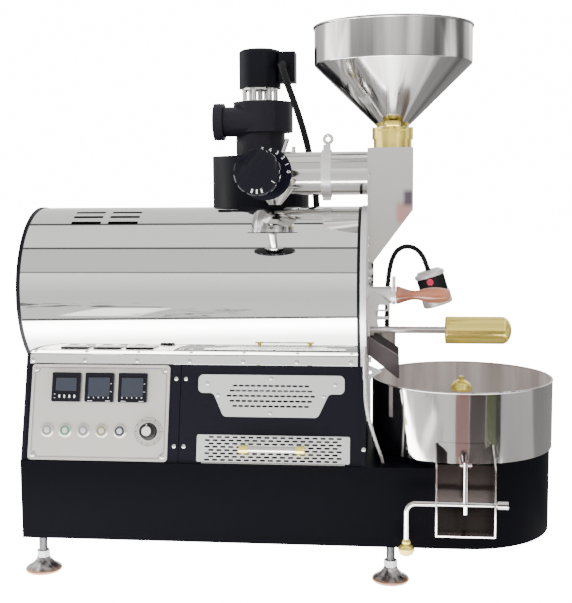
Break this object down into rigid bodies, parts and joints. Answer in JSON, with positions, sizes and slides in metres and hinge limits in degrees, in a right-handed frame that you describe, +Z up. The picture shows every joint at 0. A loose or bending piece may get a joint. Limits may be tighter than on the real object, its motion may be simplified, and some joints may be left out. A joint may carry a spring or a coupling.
{
  "type": "coffee roaster",
  "caption": "Drum coffee roaster for home use: hopper, polished hood over a turning drum, control panel, round cooling bin with stirrer, exhaust pipe with damper, cyclone and fan.",
  "frame": {"origin": "centre of the machine's bounding box, at the floor under its feet", "axes": "+X towards the hopper and cooling bin, along the drum; -Y towards the control panel side; +Z up"},
  "size_m": [0.8832, 0.5192, 0.9022],
  "materials": {
    "black_coat": "satin powder coat",
    "mirror_steel": "polished",
    "brushed": "brushed",
    "panel": "brushed champagne silver",
    "silver_coat": "satin silver",
    "brass": "polished",
    "chrome": "polished",
    "steel": "machined",
    "cast": "dark",
    "alu": "cast",
    "black_plastic": "matt",
    "dark_gloss": "gloss",
    "red_plastic": "gloss",
    "green_plastic": "gloss",
    "grey_plastic": "gloss",
    "yellow_plastic": "gloss",
    "blue_plastic": "gloss",
    "wood": "varnished",
    "glass": "clear",
    "braid": "braided"
  },
  "bodies": {
    "machine": {"base_cabinet": "black_coat", "side_panels": "black_coat", "hood": "mirror_steel", "motor_end_plate": "black_coat", "chamber_plates": "black_coat", "front_plate": "brushed", "case_screws": "steel", "control_panel": "panel", "panel_meters": "dark_gloss", "burner_grille": "silver_coat", "burner_tubes": "steel", "drum_motor": "alu", "hopper": "brushed", "hopper_collar": "brass", "feed_chute": "brushed", "exhaust_pipe": "brushed", "damper_tee": "brushed", "cyclone": "black_coat", "fan_housing": "black_coat", "fan_motor": "black_coat", "motor_conduit": "black_plastic", "trier_guide": "brushed", "sight_glass": "glass", "hinge_bracket": "brushed", "discharge_chute": "brushed", "lamp_gooseneck": "black_plastic", "lamp_head": "alu", "face_brackets": "silver_coat", "probe_hose": "braid", "cooling_bin": "brushed", "bin_floor": "brushed", "stirrer_motor": "alu", "cooling_blower": "black_coat", "outlet_chute": "brushed"},
    "drum": {"drum": "steel", "drum_shaft": "steel"},
    "stirrer": {"stirrer": "brass"},
    "exhaust_wheel": {"fan_impeller": "alu"},
    "cooling_wheel": {"cooling_impeller": "alu"},
    "power_button": {"power_button": "grey_plastic"},
    "heating_button": {"heating_button": "green_plastic"},
    "timing_button": {"timing_button": "grey_plastic"},
    "cooling_button": {"cooling_button": "yellow_plastic"},
    "mixing_button": {"mixing_button": "blue_plastic"},
    "fan_speed_knob": {"fan_speed_knob": "black_plastic"},
    "drawer": {"drawer": "silver_coat"},
    "hopper_gate": {"hopper_gate": "brass"},
    "damper": {"damper_knob": "black_plastic"},
    "trier_collar": {"trier_collar": "brushed"},
    "trier": {"trier": "brushed", "trier_handle": "wood"},
    "discharge_door": {"discharge_door": "steel", "discharge_grip": "brass"},
    "lamp_button": {"lamp_button": "red_plastic"},
    "outlet_door": {"outlet_lever": "chrome", "outlet_door": "brushed"},
    "foot_control_side_left": {"foot_control_side_left": "chrome"},
    "foot_control_side_right": {"foot_control_side_right": "chrome"},
    "foot_rear_left": {"foot_rear_left": "chrome"},
    "foot_rear_right": {"foot_rear_right": "chrome"}
  },
  "joints": [
    {"name": "drum_spin", "type": "hinge", "parent": "machine", "child": "drum", "pos_m": [-0.02108, -0.05665, 0.47], "axis": [1, 0, 0], "continuous": true},
    {"name": "stirrer_spin", "type": "hinge", "parent": "machine", "child": "stirrer", "pos_m": [0.29052, -0.05665, 0.29], "axis": [0, 0, 1], "continuous": true},
    {"name": "exhaust_wheel_spin", "type": "hinge", "parent": "machine", "child": "exhaust_wheel", "pos_m": [-0.07558, 0.16835, 0.77], "axis": [0, 0, 1], "continuous": true},
    {"name": "cooling_wheel_spin", "type": "hinge", "parent": "machine", "child": "cooling_wheel", "pos_m": [0.04892, -0.05665, 0.12], "axis": [0, 0, 1], "continuous": true},
    {"name": "power_press", "type": "slide", "parent": "machine", "child": "power_button", "axis": [0, 0.9622, -0.2724], "range_m": [0, 0.0025], "stiffness_N_per_m": 300},
    {"name": "heating_press", "type": "slide", "parent": "machine", "child": "heating_button", "axis": [0, 0.9622, -0.2724], "range_m": [0, 0.0025], "stiffness_N_per_m": 300},
    {"name": "timing_press", "type": "slide", "parent": "machine", "child": "timing_button", "axis": [0, 0.9622, -0.2724], "range_m": [0, 0.0025], "stiffness_N_per_m": 300},
    {"name": "cooling_press", "type": "slide", "parent": "machine", "child": "cooling_button", "axis": [0, 0.9622, -0.2724], "range_m": [0, 0.0025], "stiffness_N_per_m": 300},
    {"name": "mixing_press", "type": "slide", "parent": "machine", "child": "mixing_button", "axis": [0, 0.9622, -0.2724], "range_m": [0, 0.0025], "stiffness_N_per_m": 300},
    {"name": "fan_speed_turn", "type": "hinge", "parent": "machine", "child": "fan_speed_knob", "pos_m": [-0.21907, -0.1853, 0.24765], "axis": [0, -0.9622, 0.2724], "range_deg": [-150, 150]},
    {"name": "drawer_slide", "type": "slide", "parent": "machine", "child": "drawer", "axis": [0, -1, 0], "range_m": [0, 0.15]},
    {"name": "gate_slide", "type": "slide", "parent": "machine", "child": "hopper_gate", "axis": [0, -1, 0], "range_m": [0, 0.045]},
    {"name": "damper_turn", "type": "hinge", "parent": "machine", "child": "damper", "pos_m": [-0.02808, -0.15665, 0.6635], "axis": [0, -1, 0], "range_deg": [0, 90]},
    {"name": "trier_pull", "type": "slide", "parent": "machine", "child": "trier_collar", "axis": [1, 0, 0], "range_m": [0, 0.14]},
    {"name": "trier_turn", "type": "hinge", "parent": "trier_collar", "child": "trier", "pos_m": [0.11893, -0.09665, 0.4631], "axis": [1, 0, 0], "range_deg": [0, 180]},
    {"name": "discharge_lift", "type": "hinge", "parent": "machine", "child": "discharge_door", "pos_m": [0.14293, -0.05665, 0.443], "axis": [0, -1, 0], "range_deg": [0, 40]},
    {"name": "lamp_press", "type": "slide", "parent": "machine", "child": "lamp_button", "axis": [0.1164, 0.9925, 0.036], "range_m": [0, 0.0015], "stiffness_N_per_m": 300},
    {"name": "outlet_lift", "type": "hinge", "parent": "machine", "child": "outlet_door", "pos_m": [0.28642, -0.24665, 0.157], "axis": [1, 0, 0], "range_deg": [0, 18]},
    {"name": "foot_control_side_left_screw", "type": "slide", "parent": "machine", "child": "foot_control_side_left", "axis": [0, 0, -1], "range_m": [0, 0.015]},
    {"name": "foot_control_side_right_screw", "type": "slide", "parent": "machine", "child": "foot_control_side_right", "axis": [0, 0, -1], "range_m": [0, 0.015]},
    {"name": "foot_rear_left_screw", "type": "slide", "parent": "machine", "child": "foot_rear_left", "axis": [0, 0, -1], "range_m": [0, 0.015]},
    {"name": "foot_rear_right_screw", "type": "slide", "parent": "machine", "child": "foot_rear_right", "axis": [0, 0, -1], "range_m": [0, 0.015]}
  ]
}
